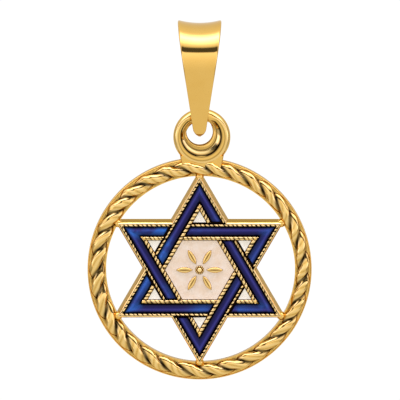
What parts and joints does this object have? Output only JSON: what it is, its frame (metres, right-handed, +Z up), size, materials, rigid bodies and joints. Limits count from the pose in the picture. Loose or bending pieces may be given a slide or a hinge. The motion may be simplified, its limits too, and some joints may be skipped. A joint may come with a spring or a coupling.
{
  "type": "star of david pendant",
  "caption": "Round cast gold charm with a rope rim and an interlaced star in blue and white enamel, swinging on a tapered bail that a neck chain runs through.",
  "frame": {"origin": "inner crown of the bail, in the middle of its width, where the neck chain lies", "axes": "+Z up along the hanging pendant, -Y the enamelled front, +X to the viewer's right and along the chain"},
  "size_m": [0.014, 0.0048, 0.0227],
  "materials": {
    "polished_gold": "polished yellow gold strip",
    "cast_gold": "cast yellow gold, tumble polished",
    "blue_enamel": "glossy translucent blue enamel",
    "white_enamel": "glossy cream-white enamel"
  },
  "bodies": {
    "bail": {"bail": "polished_gold"},
    "drop": {"casting": "cast_gold", "blue_enamel_1": "blue_enamel", "blue_enamel_2": "blue_enamel", "blue_enamel_3": "blue_enamel", "blue_enamel_4": "blue_enamel", "blue_enamel_5": "blue_enamel", "blue_enamel_6": "blue_enamel", "white_enamel_hexagon": "white_enamel", "white_enamel_triangle_1": "white_enamel", "white_enamel_triangle_2": "white_enamel", "white_enamel_triangle_3": "white_enamel", "white_enamel_triangle_4": "white_enamel", "white_enamel_triangle_5": "white_enamel", "white_enamel_triangle_6": "white_enamel"}
  },
  "joints": [
    {"name": "drop_swing", "type": "hinge", "parent": "bail", "child": "drop", "pos_m": [0, 0, -0.00547], "axis": [1, 0, 0], "range_deg": [-105, 105]}
  ]
}
